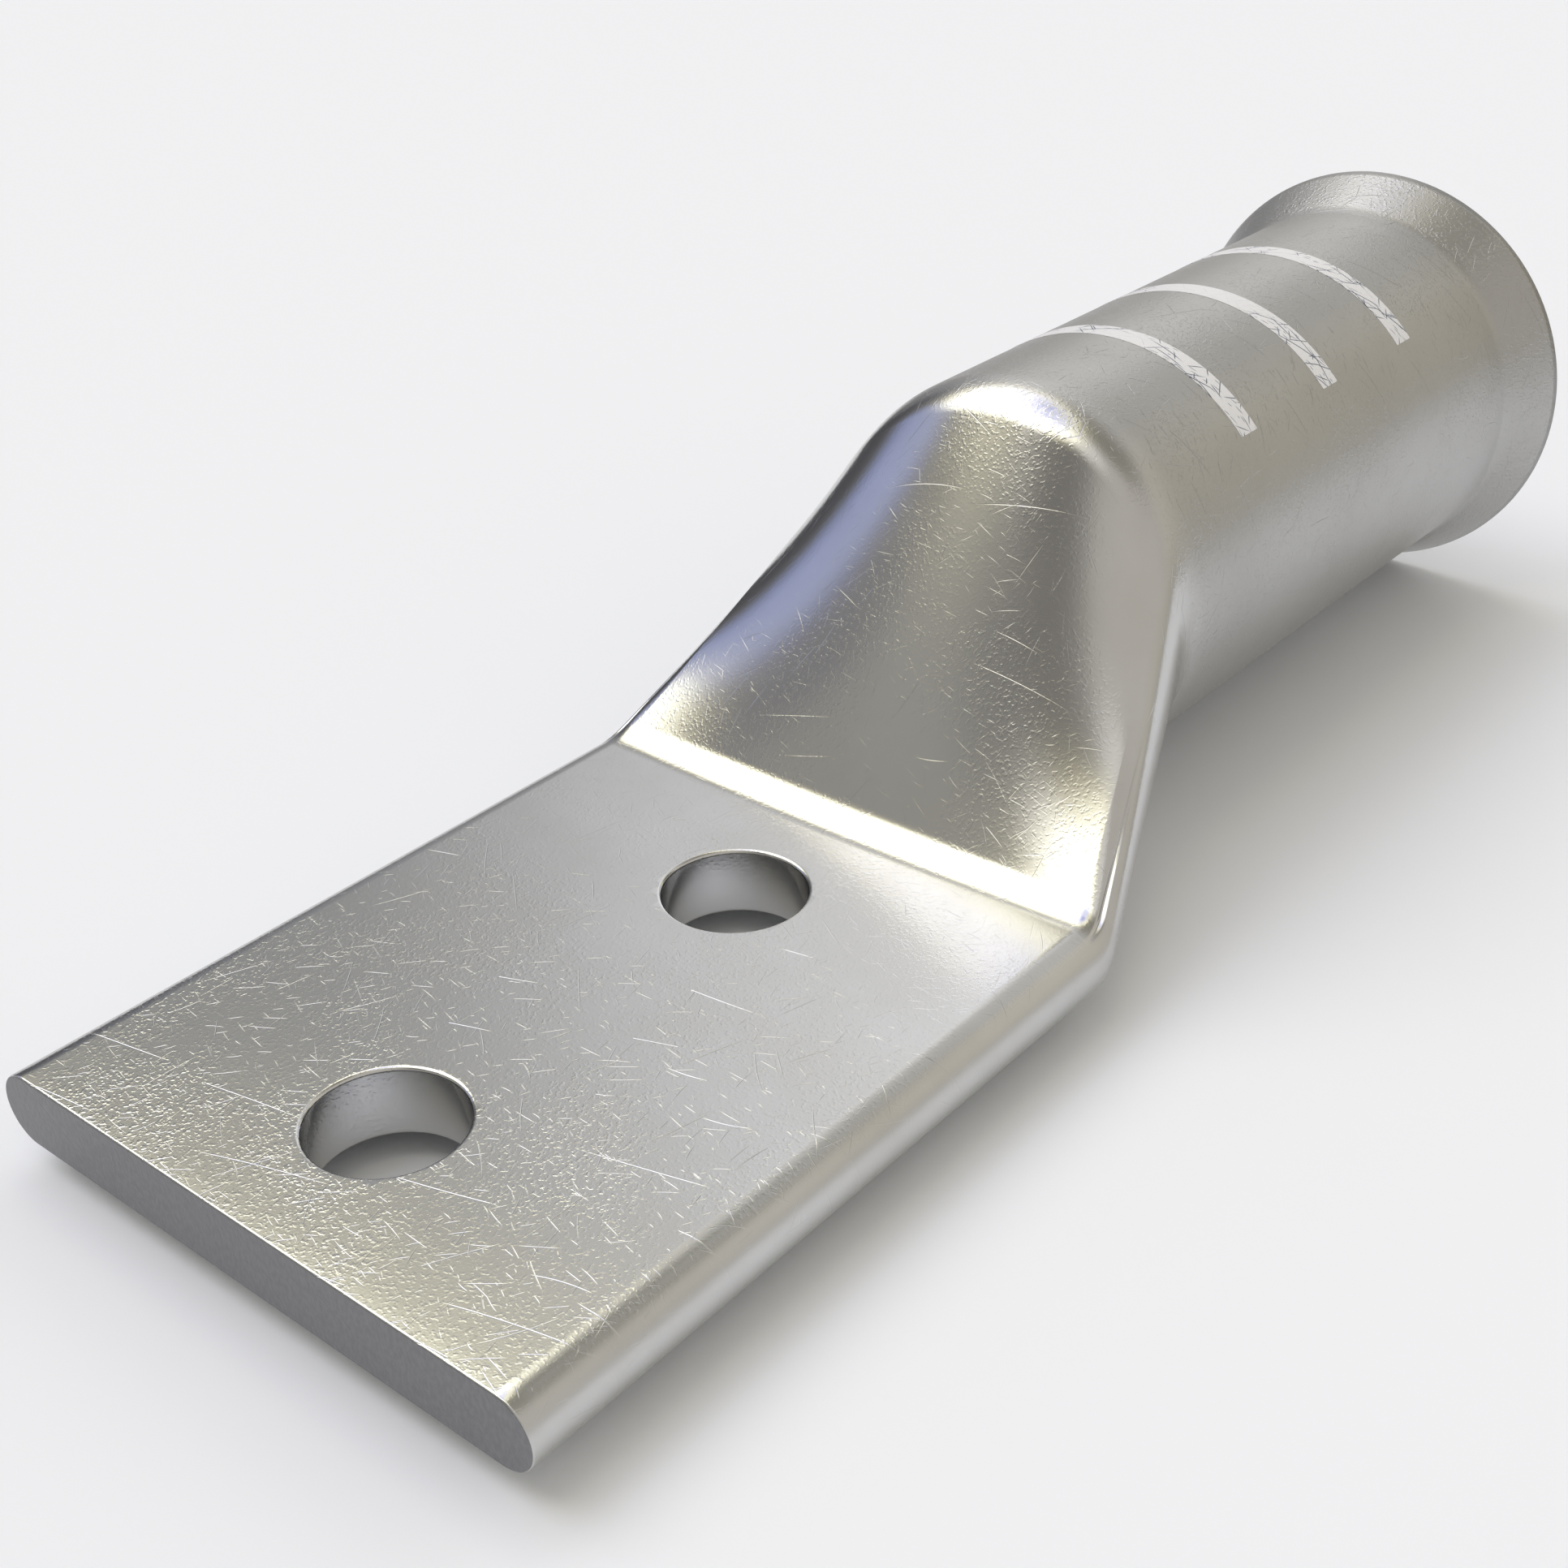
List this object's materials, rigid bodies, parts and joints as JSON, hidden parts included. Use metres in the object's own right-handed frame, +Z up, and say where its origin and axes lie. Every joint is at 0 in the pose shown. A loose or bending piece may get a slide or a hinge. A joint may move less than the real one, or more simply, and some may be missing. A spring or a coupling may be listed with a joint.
{
  "type": "compression lug",
  "caption": "Long-barrel copper compression lug with a belled cable barrel, pressed transition and a flat tongue with bolt holes.",
  "frame": {"origin": "midway between the two bolt holes, on the tongue's underside", "axes": "+X along the lug from the tongue towards the cable barrel, +Y to the left, +Z up through the tongue"},
  "size_m": [0.1885, 0.0662, 0.0513],
  "materials": {
    "tin_plate": "tin-plated copper, satin with fine handling marks",
    "white_ink": "thin white printed bands, scratched"
  },
  "bodies": {
    "root": {"compression_lug": "tin_plate"}
  },
  "joints": []
}
